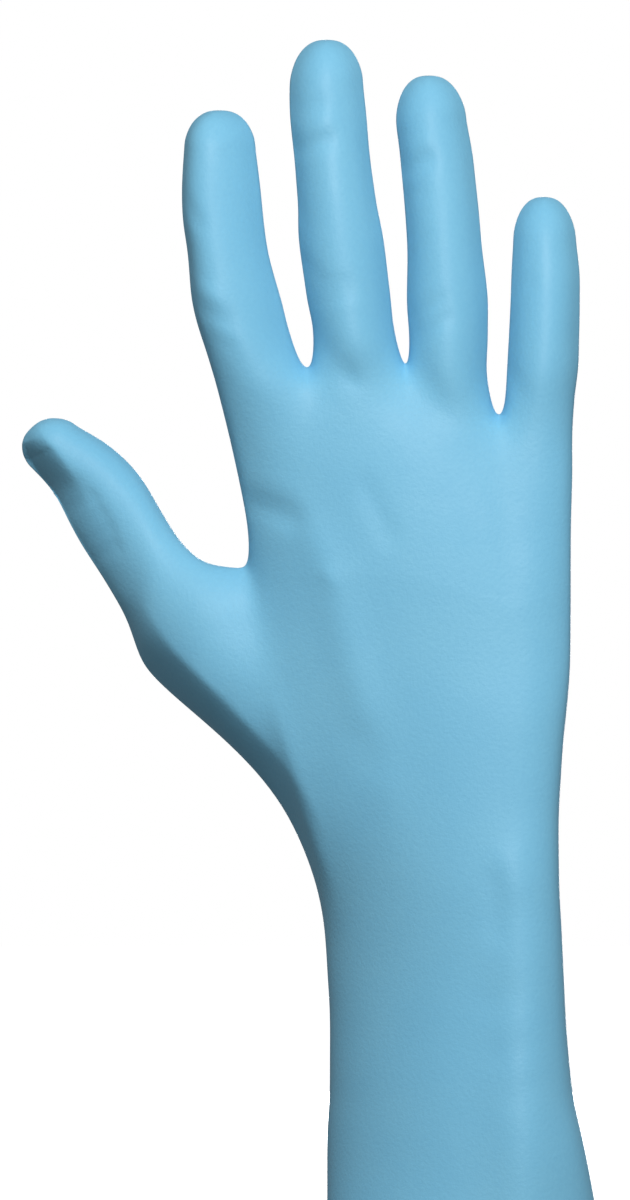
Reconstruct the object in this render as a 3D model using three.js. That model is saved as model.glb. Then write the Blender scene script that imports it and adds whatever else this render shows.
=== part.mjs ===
// A nitrile exam glove in the form that it has when it is worn on an open right hand, seen from the
// back of the hand. It is one dipped film: a long cuff that ends in a rolled bead, the back and the
// palm, four finger stalls and a thumb stall, all one hollow solid that is open at the cuff.
// Millimetres, +Z up towards the fingertips. The origin is the middle of the cuff's mouth, +X points
// to the little finger's side, and -Y is the back of the hand.
import * as THREE from 'three';

// Driving sizes of the whole glove.
const CUFF_LENGTH = 96;
const PALM_LENGTH = 126.2;
const RIM_BREADTH = 68;
const RIM_DEPTH = 57;
const WRIST_BREADTH = 57;
const WRIST_DEPTH = 41;
const PALM_BREADTH = 80;
const PALM_DEPTH = 32;
const WALL = 1;
const BEAD_DIAMETER = 2.6;

// How deep the web between two stalls hangs below its crotch on the back and on the palm side.
const WEB_DROP = 6;
const WEB_VALLEY = 0.5;

// How far from the webs and from the thumb's root the film is drawn smooth, fully so over SEAM_WIDTH of
// that, in how many passes, and how far a pass moves a point to or back from its neighbours' mean.
const WEB_REACH = 13;
const THUMB_REACH = 24;
const SEAM_WIDTH = 0.2;
const SMOOTH_PASSES = 30;
const SMOOTH_STEP = 0.6;
const SMOOTH_BACK = 0.58;

// The stalls. A finger's length runs from its lower web to its tip, breadth is seen from the back,
// depth is from nail to pad, curl is how far the tip leans towards the palm, and dome is the height of
// the rounded tip. The thumb's reach is how far its tip stands towards the palm.
const INDEX = { length: 64, breadth: 19, depth: 20, curl: 9, dome: 10 };
const MIDDLE = { length: 81, breadth: 19, depth: 20.5, curl: 10, dome: 12 };
const RING = { length: 83.7, breadth: 18.5, depth: 19.5, curl: 12, dome: 12 };
const LITTLE = { length: 54.4, breadth: 16.2, depth: 17.5, curl: 9, dome: 12 };
const THUMB = { length: 57, breadth: 22, depth: 22, reach: 22 };

// How a stall's round form takes over from its root on the hand (mm), how a finger curls more towards
// its tip, and how blunt a tip is: 1 makes it half an ellipsoid, and less makes it fuller.
const FINGER_BLEND = 14;
const THUMB_BLEND = 28;
const CURL_POWER = 1.8;
const BLUNTNESS = 0.86;

// How square a section of the hand and of the thumb's root is: 2 is an ellipse.
const HAND_SQUARENESS = 2.5;
const ROOT_SQUARENESS = 2.8;

// Beside the thumb's root the hand keeps the fullness that it has at ROOT_SHARE of the way out, and comes
// to it over 1 / ROOT_STEEPNESS of the root's height. WEB_GROWTH keeps the webs' dips near the webs.
const ROOT_SHARE = 0.6;
const ROOT_STEEPNESS = 3.2;
const WEB_GROWTH = 1.5;

// How finely the surface is divided: columns over a finger's back, columns over a side, and rows.
const FINGER_COLUMNS = 4;
const SIDE_COLUMNS = 4;
const CUFF_ROWS = 13;
const THUMB_ROOT_ROWS = 8;
const KNUCKLE_ROWS = 7;
const STALL_ROW_PITCH = 6;
const TIP_RINGS = 3;
const TIP_RINGS_ANGLE = 54;
const BEAD_STEPS = 6;
const ROW_CROWDING = 1.3;

// Sections of the cuff and the hand from the rim up. `up` is a share of CUFF_LENGTH, and past 1 a share
// of PALM_LENGTH beyond it. left and right are the edges from the middle of the mouth, as shares of the
// section's breadth, and back and front are the depths behind and before it, as shares of its depth.
const RIM = { breadth: RIM_BREADTH, depth: RIM_DEPTH };
const WRIST = { breadth: WRIST_BREADTH, depth: WRIST_DEPTH };
const PALM = { breadth: PALM_BREADTH, depth: PALM_DEPTH };
const SECTIONS = [
  { of: RIM, up: 0.0, left: -0.5, right: 0.5, back: 0.5, front: 0.5 },
  { of: RIM, up: 0.22, left: -0.497, right: 0.445, back: 0.465, front: 0.465 },
  { of: RIM, up: 0.35, left: -0.497, right: 0.41, back: 0.44, front: 0.44 },
  { of: RIM, up: 0.5, left: -0.488, right: 0.366, back: 0.405, front: 0.415 },
  { of: WRIST, up: 0.65, left: -0.581, right: 0.412, back: 0.515, front: 0.55 },
  { of: WRIST, up: 0.8, left: -0.593, right: 0.399, back: 0.48, front: 0.515 },
  { of: WRIST, up: 0.9, left: -0.61, right: 0.391, back: 0.468, front: 0.5 },
  { of: WRIST, up: 1.0, left: -0.635, right: 0.382, back: 0.46, front: 0.5 },
  { of: PALM, up: 1.11, left: -0.5, right: 0.27, back: 0.56, front: 0.66 },
  { of: PALM, up: 1.27, left: -0.57, right: 0.283, back: 0.52, front: 0.66 },
  { of: PALM, up: 1.42, left: -0.635, right: 0.304, back: 0.49, front: 0.6 },
  { of: PALM, up: 1.55, left: -0.69, right: 0.307, back: 0.47, front: 0.53 },
  { of: PALM, up: 1.61, left: -0.7, right: 0.307, back: 0.465, front: 0.5 },
  { of: PALM, up: 1.635, left: -0.663, right: 0.307, back: 0.46, front: 0.49 },
  { of: PALM, up: 1.67, left: -0.652, right: 0.307, back: 0.453, front: 0.475 },
  { of: PALM, up: 1.72, left: -0.668, right: 0.309, back: 0.44, front: 0.46 },
  { of: PALM, up: 1.8, left: -0.691, right: 0.31, back: 0.425, front: 0.45 },
  { of: PALM, up: 1.87, left: -0.718, right: 0.314, back: 0.405, front: 0.42 },
  { of: PALM, up: 1.94, left: -0.747, right: 0.322, back: 0.37, front: 0.38 },
  { of: PALM, up: 1.99, left: -0.767, right: 0.33, back: 0.335, front: 0.345 },
];
// Where the thumb's root ends above, at the web to the index finger, as a share of the palm's height.
const THUMB_WEB_UP = 0.618;

// The four finger roots from left to right, at the webs: across is a share of PALM_BREADTH from the
// middle of the mouth, and up a share of PALM_LENGTH above the wrist. The first and last are outer edges.
const WEBS = [
  { across: -0.765, up: 0.982 },
  { across: -0.478, up: 0.976 },
  { across: -0.184, up: 0.984 },
  { across: 0.101, up: 0.887 },
  { across: 0.315, up: 0.902 },
];

// Outlines of the finger stalls as seen from the back. `up` is a share of the stall's length, left and
// right are its edges from the middle of its root as shares of its breadth, and depth is a share of its
// own depth. tip is where the tip lies across, in the same shares as left and right.
INDEX.outline = [
  { up: 0.0, left: -0.595, right: 0.6, depth: 1.02 },
  { up: 0.057, left: -0.655, right: 0.483, depth: 1.02 },
  { up: 0.254, left: -0.85, right: 0.282, depth: 0.98 },
  { up: 0.482, left: -0.935, right: 0.082, depth: 0.91 },
  { up: 0.596, left: -0.987, right: 0.03, depth: 0.87 },
  { up: 0.71, left: -0.997, right: -0.01, depth: 0.84 },
  { up: 0.842, left: -0.973, right: -0.064, depth: 0.81 },
];
INDEX.tip = -0.524;

MIDDLE.outline = [
  { up: 0.0, left: -0.62, right: 0.62, depth: 1.0 },
  { up: 0.061, left: -0.553, right: 0.53, depth: 1.0 },
  { up: 0.127, left: -0.563, right: 0.465, depth: 1.0 },
  { up: 0.216, left: -0.628, right: 0.422, depth: 0.98 },
  { up: 0.396, left: -0.74, right: 0.333, depth: 0.93 },
  { up: 0.487, left: -0.75, right: 0.256, depth: 0.9 },
  { up: 0.667, left: -0.808, right: 0.148, depth: 0.84 },
  { up: 0.757, left: -0.85, right: 0.117, depth: 0.81 },
  { up: 0.849, left: -0.86, right: 0.076, depth: 0.78 },
];
MIDDLE.tip = -0.39;

RING.outline = [
  { up: 0.0, left: -0.616, right: 0.616, depth: 1.0 },
  { up: 0.037, left: -0.616, right: 0.49, depth: 1.0 },
  { up: 0.081, left: -0.616, right: 0.433, depth: 1.0 },
  { up: 0.159, left: -0.616, right: 0.428, depth: 1.0 },
  { up: 0.197, left: -0.58, right: 0.431, depth: 1.0 },
  { up: 0.342, left: -0.61, right: 0.438, depth: 0.96 },
  { up: 0.516, left: -0.609, right: 0.357, depth: 0.91 },
  { up: 0.778, left: -0.705, right: 0.237, depth: 0.82 },
  { up: 0.856, left: -0.747, right: 0.174, depth: 0.79 },
];
RING.tip = -0.323;

LITTLE.outline = [
  { up: 0.0, left: -0.535, right: 0.535, depth: 1.0 },
  { up: 0.259, left: -0.443, right: 0.608, depth: 0.98 },
  { up: 0.664, left: -0.378, right: 0.627, depth: 0.87 },
  { up: 0.768, left: -0.356, right: 0.588, depth: 0.83 },
];
LITTLE.tip = 0.104;

// Sections of the thumb stall from its root on the hand to its tip. out and up place the section's
// middle from the thumb's web, as shares of the thumb's length, turn is the angle of the section's line
// in degrees from +X, breadth and depth are shares of the thumb's, and sink is a share of its reach.
const THUMB_SECTIONS = [
  { out: -0.165, up: -0.665, turn: 105.4, breadth: 3.64, depth: 1.5, sink: 0.07 },
  { out: -0.108, up: -0.541, turn: 105.8, breadth: 2.97, depth: 1.42, sink: 0.14 },
  { out: -0.016, up: -0.432, turn: 102.1, breadth: 2.37, depth: 1.34, sink: 0.25 },
  { out: 0.082, up: -0.347, turn: 96.4, breadth: 1.965, depth: 1.26, sink: 0.36 },
  { out: 0.185, up: -0.259, turn: 89.3, breadth: 1.72, depth: 1.19, sink: 0.47 },
  { out: 0.283, up: -0.167, turn: 81.4, breadth: 1.573, depth: 1.13, sink: 0.57 },
  { out: 0.338, up: -0.092, turn: 80, breadth: 1.551, depth: 1.08, sink: 0.64 },
  { out: 0.394, up: 0.033, turn: 75.7, breadth: 1.323, depth: 1.04, sink: 0.72 },
  { out: 0.449, up: 0.133, turn: 70.4, breadth: 1.192, depth: 1.01, sink: 0.79 },
  { out: 0.506, up: 0.22, turn: 64.3, breadth: 1.096, depth: 0.98, sink: 0.85 },
  { out: 0.564, up: 0.299, turn: 59.7, breadth: 1.011, depth: 0.94, sink: 0.9 },
  { out: 0.627, up: 0.385, turn: 54.3, breadth: 0.87, depth: 0.87, sink: 0.94 },
  { out: 0.692, up: 0.461, turn: 48, breadth: 0.743, depth: 0.78, sink: 0.97 },
  { out: 0.753, up: 0.511, turn: 43, breadth: 0.687, depth: 0.7, sink: 0.99 },
];
const THUMB_TIP = { out: 0.862, up: 0.603, sink: 1.0 };

// Broad forms under the film. side is -1 on the back and 1 on the palm, across is a share of
// PALM_BREADTH, up a share of PALM_LENGTH above the wrist, and wide and tall are the form's reach as
// shares of the same two. lean turns it in degrees, and rise is its height in shares of PALM_DEPTH.
const FORMS = [
  { side: 1, across: -0.38, up: 0.3, wide: 0.17, tall: 0.2, lean: 20, rise: 0.2 },
  { side: 1, across: 0.1, up: 0.25, wide: 0.13, tall: 0.24, lean: -4, rise: 0.14 },
  { side: 1, across: -0.16, up: 0.42, wide: 0.12, tall: 0.2, lean: 12, rise: -0.12 },
  { side: 1, across: -0.15, up: 0.84, wide: 0.4, tall: 0.07, lean: -6, rise: 0.05 },
  { side: -1, across: -0.42, up: 0.48, wide: 0.07, tall: 0.22, lean: 24, rise: -0.08 },
  { side: -1, across: -0.28, up: 0.45, wide: 0.035, tall: 0.3, lean: 22, rise: 0.05 },
  { side: -1, across: 0.13, up: -0.03, wide: 0.07, tall: 0.05, lean: 0, rise: 0.09 },
];

const mix = (a, b, t) => a + (b - a) * t;
const clamp = (t) => Math.min(1, Math.max(0, t));
const ease = (t) => clamp(t) ** 2 * (3 - 2 * clamp(t));
const rad = THREE.MathUtils.degToRad;
const powered = (value, power) => Math.sign(value) * Math.abs(value) ** power;

// A smooth curve through one column of a table: cubic pieces whose slope at a row is the harmonic
// mean of the two slopes beside it, so it never overshoots a row. Past its ends it stays level.
function curve(rows, at, value) {
  const x = rows.map(at);
  const y = rows.map(value);
  const last = rows.length - 1;
  const step = x.slice(1).map((v, i) => (y[i + 1] - y[i]) / (v - x[i]));
  const slope = y.map((_, i) => {
    if (i === 0 || i === last) return step[Math.min(i, last - 1)];
    return step[i - 1] * step[i] <= 0 ? 0 : 2 * step[i - 1] * step[i] / (step[i - 1] + step[i]);
  });
  return (v) => {
    const inside = Math.min(x[last], Math.max(x[0], v));
    const i = x.findIndex((_, k) => k === last - 1 || inside < x[k + 1]);
    const h = x[i + 1] - x[i];
    const t = (inside - x[i]) / h;
    const u = 1 - t;
    return y[i] * (1 + 2 * t) * u * u + y[i + 1] * t * t * (3 - 2 * t)
      + h * (slope[i] * t * u * u - slope[i + 1] * t * t * u);
  };
}

// The hand and cuff as curves over height, and the places of the webs.
const heightOf = (up) => (up <= 1 ? up * CUFF_LENGTH : CUFF_LENGTH + (up - 1) * PALM_LENGTH);
const overHeight = (value) => curve(SECTIONS, (s) => heightOf(s.up), value);
const hand = {
  left: overHeight((s) => s.left * s.of.breadth),
  right: overHeight((s) => s.right * s.of.breadth),
  back: overHeight((s) => s.back * s.of.depth),
  front: overHeight((s) => s.front * s.of.depth),
};
const webs = WEBS.map((w) => ({ x: w.across * PALM_BREADTH, z: heightOf(1 + w.up) }));

// The finger stalls as curves over height, each from its lower web to where its rounded tip begins.
const FINGERS = [INDEX, MIDDLE, RING, LITTLE];
const fingers = FINGERS.map((f, j) => {
  const rootX = (webs[j].x + webs[j + 1].x) / 2;
  const rootZ = Math.min(webs[j].z, webs[j + 1].z);
  const over = (value) => curve(f.outline, (s) => rootZ + s.up * f.length, value);
  const rootMiddle = (hand.front(rootZ) - hand.back(rootZ)) / 2;
  return {
    rootZ,
    domeZ: rootZ + f.length - f.dome,
    tip: { x: rootX + f.tip * f.breadth, z: rootZ + f.length },
    middle: over((s) => rootX + (s.left + s.right) / 2 * f.breadth),
    wide: over((s) => (s.right - s.left) / 2 * f.breadth),
    deep: over((s) => s.depth * f.depth / 2),
    sink: (z) => rootMiddle + f.curl * Math.max(0, (z - rootZ) / f.length) ** CURL_POWER,
  };
});
const fingerPoint = (f, angle, z) => new THREE.Vector3(
  f.middle(z) + f.wide(z) * Math.cos(angle),
  f.sink(z) - f.deep(z) * Math.sin(angle),
  z,
);

// The outer surface: points in space, and quads that name their corners by number.
const points = [];
const quads = [];
const addPoint = (p) => points.push(p) - 1;
const joinRings = (low, high) => low.forEach((_, i) => {
  const next = (i + 1) % low.length;
  quads.push([low[i], low[next], high[next], high[i]]);
});

// A ring of the hand runs over the back from left to right, round the right side, over the palm from
// right to left and round the left side. A column is counted from the left on the back and the palm.
const BACK_COLUMNS = FINGERS.length * FINGER_COLUMNS;
const PALM_START = BACK_COLUMNS + SIDE_COLUMNS;
const LEFT_START = PALM_START + BACK_COLUMNS;
const RING_COUNT = LEFT_START + SIDE_COLUMNS;
const palmIndex = (column) => LEFT_START - column;

// One point of the ring at the finger webs. The back and the palm bulge over each finger's root and
// dip at the webs between them, and the two sides are the outer fingers' own.
function webPoint(i) {
  const last = FINGERS.length;
  const isWeb = (k) => k > 0 && k < last;
  if (i > BACK_COLUMNS && i < PALM_START) {
    const turn = (i - BACK_COLUMNS) / SIDE_COLUMNS;
    return fingerPoint(fingers[last - 1], rad(mix(45, -45, turn)), webs[last].z);
  }
  if (i > LEFT_START) {
    const turn = (i - LEFT_START) / SIDE_COLUMNS;
    return fingerPoint(fingers[0], rad(mix(225, 135, turn)), webs[0].z);
  }
  const onPalm = i >= PALM_START;
  const column = onPalm ? LEFT_START - i : i;
  const j = Math.min(last - 1, Math.floor(column / FINGER_COLUMNS));
  const t = column / FINGER_COLUMNS - j;
  const edge = (k) => {
    if (isWeb(k)) return { x: webs[k].x, z: webs[k].z - WEB_DROP, deep: WEB_VALLEY };
    const corner = fingerPoint(fingers[Math.min(k, last - 1)], rad(k ? 45 : 135), webs[k].z);
    return { x: corner.x, z: webs[k].z, deep: Math.SQRT1_2 };
  };
  const from = edge(j);
  const to = edge(j + 1);
  const z = mix(from.z, to.z, t);
  const deep = mix(mix(from.deep, to.deep, t), 1, Math.sin(Math.PI * t));
  const side = onPalm ? 1 : -1;
  return new THREE.Vector3(mix(from.x, to.x, t), fingers[j].sink(z) + side * fingers[j].deep(z) * deep, z);
}
const webRing = Array.from({ length: RING_COUNT }, (_, i) => webPoint(i));

// One point of a section at height z, of the cuff or the hand: a superellipse. v is 0 at the wrist and
// 1 at the finger webs. Beside the thumb's root the section keeps its depth out to its left edge.
function sectionPoint(i, z, v) {
  const angle = Math.PI - (2 * i + SIDE_COLUMNS) * Math.PI / RING_COUNT;
  const power = 2 / mix(2, HAND_SQUARENESS, ease(2 * v));
  const across = powered(Math.cos(angle), power);
  const round = Math.abs(Math.sin(angle)) ** power;
  const beside = v > 0 && v < THUMB_WEB_UP ? v / THUMB_WEB_UP : 0;
  const open = ease(ROOT_STEEPNESS * beside) * ease(ROOT_STEEPNESS * (1 - beside));
  const fullness = across < 0 ? (1 - Math.abs(across * ROOT_SHARE) ** (2 / power)) ** (power / 2) : round;
  const deep = Math.sin(angle) > 0 ? -hand.back(z) : hand.front(z);
  return new THREE.Vector3(
    mix(hand.left(z), hand.right(z), (across + 1) / 2),
    deep * mix(round, Math.max(round, fullness), open),
    z,
  );
}

// A point of the hand, where the section turns into the ring at the finger webs.
function handPoint(i, v) {
  const nearWebs = ease((v - THUMB_WEB_UP) / (1 - THUMB_WEB_UP)) ** WEB_GROWTH;
  return sectionPoint(i, mix(CUFF_LENGTH, webRing[i].z, v), v).lerp(webRing[i], nearWebs);
}

// The rings of the cuff and the hand. Beside the thumb's root a ring has no left side.
const ringOf = (place, count = RING_COUNT) => Array.from({ length: count }, (_, i) => addPoint(place(i)));
const handRings = [];
for (let r = 0; r <= CUFF_ROWS; r++) {
  const z = mix(BEAD_DIAMETER, CUFF_LENGTH, r / CUFF_ROWS);
  handRings.push(ringOf((i) => sectionPoint(i, z, 0)));
}
for (let r = 1; r <= THUMB_ROOT_ROWS; r++) {
  const v = THUMB_WEB_UP * r / THUMB_ROOT_ROWS;
  handRings.push(ringOf((i) => handPoint(i, v), r < THUMB_ROOT_ROWS ? LEFT_START + 1 : RING_COUNT));
}
for (let r = 1; r <= KNUCKLE_ROWS; r++) {
  const v = mix(THUMB_WEB_UP, 1, (r / KNUCKLE_ROWS) ** ROW_CROWDING);
  handRings.push(ringOf((i) => handPoint(i, v)));
}
handRings.slice(1).forEach((high, r) => {
  const low = handRings[r];
  if (Math.min(low.length, high.length) === RING_COUNT) joinRings(low, high);
  else for (let i = 0; i < LEFT_START; i++) quads.push([low[i], low[i + 1], high[i + 1], high[i]]);
});

// The web between two stalls: a line of points from the back of the hand over the crotch to the palm.
const topRing = handRings[handRings.length - 1];
const webLines = webs.map((web, k) => {
  if (k === 0 || k === FINGERS.length) return [];
  const from = points[topRing[k * FINGER_COLUMNS]];
  const to = points[topRing[palmIndex(k * FINGER_COLUMNS)]];
  return Array.from({ length: SIDE_COLUMNS - 1 }, (_, b) => {
    const t = (b + 1) / SIDE_COLUMNS;
    const edgeZ = mix(from.z, to.z, t);
    const z = mix(edgeZ, web.z, Math.sin(Math.PI * t));
    return addPoint(new THREE.Vector3(web.x, mix(from.y, to.y, t), z));
  });
});

// Closes a stall's last ring with a patch of quads, across by deep of them. place(index, reach) gives a
// point of the tip, for a place between the ring's points and a share of the way out to the ring.
function closeTip(ring, across, deep, place) {
  const rim = (a, b) => {
    if (b === 0) return a;
    if (a === across) return across + b;
    if (b === deep) return 2 * across + deep - a;
    return a === 0 ? 2 * (across + deep) - b : -1;
  };
  const inner = (a, b) => {
    const u = 2 * a / across - 1;
    const w = 2 * b / deep - 1;
    const reach = Math.max(Math.abs(u), Math.abs(w));
    if (reach === 0) return place(0, 0);
    if (-w === reach) return place(across * (u / reach + 1) / 2, reach);
    if (u === reach) return place(across + deep * (w / reach + 1) / 2, reach);
    if (w === reach) return place(across + deep + across * (1 - u / reach) / 2, reach);
    return place(2 * across + deep + deep * (1 - w / reach) / 2, reach);
  };
  const idAt = (a, b) => (rim(a, b) >= 0 ? ring[rim(a, b)] : addPoint(inner(a, b)));
  const column = (a) => Array.from({ length: deep + 1 }, (_, b) => idAt(a, b));
  const grid = Array.from({ length: across + 1 }, (_, a) => column(a));
  grid.slice(1).forEach((next, a) => {
    for (let b = 0; b < deep; b++) quads.push([grid[a][b], next[b], next[b + 1], grid[a][b + 1]]);
  });
}

// Grows a stall from its root ring. tube(index, share) is its own round form, travelled(index, share)
// how far along it that is, and dome(index, lift) its tip. Where the root differs from the round form,
// the difference dies away over blend.
function growStall({ root, across, deep, rows, blend, tube, travelled, dome }) {
  const gap = root.map((id, i) => points[id].clone().sub(tube(i, 0)));
  let ring = root;
  const grow = (place) => {
    const next = root.map((_, i) => addPoint(place(i)));
    joinRings(ring, next);
    ring = next;
  };
  for (let r = 1; r <= rows; r++) {
    grow((i) => tube(i, r / rows).addScaledVector(gap[i], 1 - ease(travelled(i, r / rows) / blend)));
  }
  for (let r = 1; r <= TIP_RINGS; r++) grow((i) => dome(i, rad(TIP_RINGS_ANGLE * r / TIP_RINGS)));
  closeTip(ring, across, deep, (i, reach) => dome(i, rad(mix(90, TIP_RINGS_ANGLE, reach))));
}

// A finger stall stands on its part of the hand's top ring, between two webs.
function addFinger(f, j) {
  const first = j * FINGER_COLUMNS;
  const columns = Array.from({ length: FINGER_COLUMNS + 1 }, (_, c) => first + c);
  const right = j === FINGERS.length - 1 ? topRing.slice(BACK_COLUMNS + 1, PALM_START) : webLines[j + 1];
  const left = j === 0 ? topRing.slice(LEFT_START + 1) : [...webLines[j]].reverse();
  const root = [
    ...columns.map((c) => topRing[c]),
    ...right,
    ...columns.map((c) => topRing[palmIndex(c)]).reverse(),
    ...left,
  ];
  const angle = (i) => Math.PI / 2 + (FINGER_COLUMNS - 2 * i) * Math.PI / root.length;
  const startZ = root.map((id) => points[id].z);
  const heightAt = (i, share) => mix(startZ[i], f.domeZ, share);
  growStall({
    root,
    across: FINGER_COLUMNS,
    deep: SIDE_COLUMNS,
    rows: Math.max(KNUCKLE_ROWS, Math.round((f.domeZ - f.rootZ) / STALL_ROW_PITCH)),
    blend: FINGER_BLEND,
    tube: (i, share) => fingerPoint(f, angle(i), heightAt(i, share)),
    travelled: (i, share) => heightAt(i, share) - startZ[i],
    dome: (i, lift) => {
      const z = mix(f.domeZ, f.tip.z, Math.sin(lift));
      const round = Math.cos(lift) ** BLUNTNESS;
      return new THREE.Vector3(
        mix(f.middle(f.domeZ), f.tip.x, Math.sin(lift)) + f.wide(f.domeZ) * round * Math.cos(angle(i)),
        f.sink(z) - f.deep(f.domeZ) * round * Math.sin(angle(i)),
        z,
      );
    },
  });
}
fingers.forEach(addFinger);

// The thumb stall grows from the hand's open left side, between the wrist and the thumb's web. Its
// root ring runs from the web over the palm down to the wrist, and over the back up to the web again.
function addThumb() {
  const rootRings = handRings.slice(CUFF_ROWS, CUFF_ROWS + THUMB_ROOT_ROWS + 1);
  const lowRing = rootRings[0];
  const highRing = rootRings[THUMB_ROOT_ROWS];
  const root = [
    highRing[0],
    ...highRing.slice(LEFT_START + 1).reverse(),
    ...rootRings.map((ring) => ring[LEFT_START]).reverse(),
    ...lowRing.slice(LEFT_START + 1),
    ...rootRings.slice(0, -1).map((ring) => ring[0]),
  ];
  const angle = (i) => (2 * i - SIDE_COLUMNS) * Math.PI / root.length;
  const web = points[highRing[0]];
  const place = (s) => new THREE.Vector3(
    hand.left(web.z) - s.out * THUMB.length,
    s.sink * THUMB.reach,
    web.z + s.up * THUMB.length,
  );
  const middles = THUMB_SECTIONS.map(place);
  const along = middles.map((m, k) => (k ? m.distanceTo(middles[k - 1]) : 0));
  along.forEach((step, k) => { along[k] = step + (along[k - 1] ?? 0); });
  const over = (value) => curve(THUMB_SECTIONS.map((s, k) => ({ s, k })), (row) => along[row.k], value);
  const middle = ['x', 'y', 'z'].map((axis) => over((row) => middles[row.k][axis]));
  const turn = over((row) => rad(row.s.turn));
  const wide = over((row) => row.s.breadth * THUMB.breadth / 2);
  const deep = over((row) => row.s.depth * THUMB.depth / 2);
  const end = along[along.length - 1];
  const middleAt = (at) => new THREE.Vector3(...middle.map((axis) => axis(at)));
  const tube = (i, at) => {
    const power = 2 / mix(ROOT_SQUARENESS, 2, ease(2 * at / end));
    const out = wide(at) * powered(Math.cos(angle(i)), power);
    const sunk = deep(at) * powered(Math.sin(angle(i)), power);
    return middleAt(at).add(new THREE.Vector3(out * Math.cos(turn(at)), sunk, out * Math.sin(turn(at))));
  };
  growStall({
    root,
    across: SIDE_COLUMNS,
    deep: THUMB_ROOT_ROWS,
    rows: Math.round(end / STALL_ROW_PITCH),
    blend: THUMB_BLEND,
    tube: (i, share) => tube(i, end * share),
    travelled: (i, share) => end * share,
    dome: (i, lift) => (
      tube(i, end).sub(middleAt(end)).multiplyScalar(Math.cos(lift) ** BLUNTNESS)
        .add(middleAt(end).lerp(place(THUMB_TIP), Math.sin(lift)))
    ),
  });
  return root;
}
const thumbRoot = addThumb();

// Draws the film smooth over the seams between the hand and its stalls: each point there moves towards
// the mean of its neighbours, less the further it is from the seam, and every second pass moves it
// back nearly as far, so that creases go and the form doesn't shrink.
function smoothSeams() {
  const neighbours = points.map(() => new Set());
  quads.forEach((quad) => quad.forEach((id, k) => {
    neighbours[id].add(quad[(k + 1) % 4]);
    neighbours[id].add(quad[(k + 3) % 4]);
  }));
  const webSeam = [...topRing, ...webLines.flat()];
  const nearness = (p, seam, reach) => (
    ease(1 + SEAM_WIDTH - Math.min(...seam.map((id) => p.distanceTo(points[id]))) / reach)
  );
  const weights = points.map((p) => (
    Math.max(nearness(p, webSeam, WEB_REACH), nearness(p, thumbRoot, THUMB_REACH))
  ));
  for (let pass = 0; pass < SMOOTH_PASSES; pass++) {
    const before = points.map((p) => p.clone());
    const amount = pass % 2 ? -SMOOTH_BACK : SMOOTH_STEP;
    points.forEach((p, id) => {
      const mean = new THREE.Vector3();
      neighbours[id].forEach((other) => mean.add(before[other]));
      p.lerp(mean.divideScalar(neighbours[id].size), weights[id] * amount);
    });
  }
}
smoothSeams();

// Raises the broad forms: each is a bell-shaped swelling or hollow on the back or on the palm.
function raiseForms() {
  points.forEach((p) => FORMS.forEach((f) => {
    const dx = p.x - f.across * PALM_BREADTH;
    const dz = p.z - heightOf(1 + f.up);
    const lean = rad(f.lean);
    const a = (dx * Math.cos(lean) + dz * Math.sin(lean)) / (f.wide * PALM_BREADTH);
    const b = (dz * Math.cos(lean) - dx * Math.sin(lean)) / (f.tall * PALM_LENGTH);
    const facing = ease(0.5 + 2 * f.side * p.y / PALM_DEPTH);
    p.y += f.side * f.rise * PALM_DEPTH * Math.exp(-a * a - b * b) * facing;
  }));
}
raiseForms();

// The outward direction at every point: the mean of those of the quads that meet there.
function outwardDirections() {
  const directions = points.map(() => new THREE.Vector3());
  quads.forEach(([a, b, c, d]) => {
    const across = points[c].clone().sub(points[a]);
    const normal = across.cross(points[d].clone().sub(points[b]));
    [a, b, c, d].forEach((id) => directions[id].add(normal));
  });
  return directions.map((direction) => direction.normalize());
}

// Makes the outer surface a closed film: the same surface a wall further in and turned round, and
// between the two at the mouth the bead, whose profile is an arc from the outer wall to the inner one.
function closeFilm() {
  const outward = outwardDirections();
  const mouth = handRings[0];
  mouth.forEach((id) => outward[id].setZ(0).normalize());
  const inner = points.map((p, id) => p.clone().addScaledVector(outward[id], -WALL));
  const offset = points.length;
  quads.push(...quads.map((quad) => quad.map((id) => id + offset).reverse()));
  inner.forEach(addPoint);
  const radius = BEAD_DIAMETER / 2;
  const meet = Math.asin(WALL / BEAD_DIAMETER);
  let ring = mouth;
  for (let k = 1; k < BEAD_STEPS; k++) {
    const angle = Math.PI / 2 - meet - 2 * (Math.PI - meet) * k / BEAD_STEPS;
    const next = mouth.map((id) => {
      const p = points[id].clone().addScaledVector(outward[id], radius * Math.cos(angle) - WALL / 2);
      return addPoint(p.setZ(radius + radius * Math.sin(angle)));
    });
    joinRings(next, ring);
    ring = next;
  }
  joinRings(mouth.map((id) => id + offset), ring);
}
closeFilm();

// Two triangles for each quad, split along its shorter diagonal.
function filmGeometry() {
  const index = quads.flatMap(([a, b, c, d]) => (
    points[a].distanceToSquared(points[c]) <= points[b].distanceToSquared(points[d])
      ? [a, b, c, a, c, d]
      : [a, b, d, b, c, d]
  ));
  const geometry = new THREE.BufferGeometry().setFromPoints(points);
  geometry.setIndex(index);
  geometry.computeVertexNormals();
  return geometry;
}

const nitrile = new THREE.MeshStandardMaterial({
  color: 0x81c9ea,
  roughness: 0.5,
  metalness: 0,
  side: THREE.DoubleSide,
});
const film = new THREE.Mesh(filmGeometry(), nitrile);
film.name = 'glove_film';

const glove = new THREE.Group();
glove.add(film);
export default glove;
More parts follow.
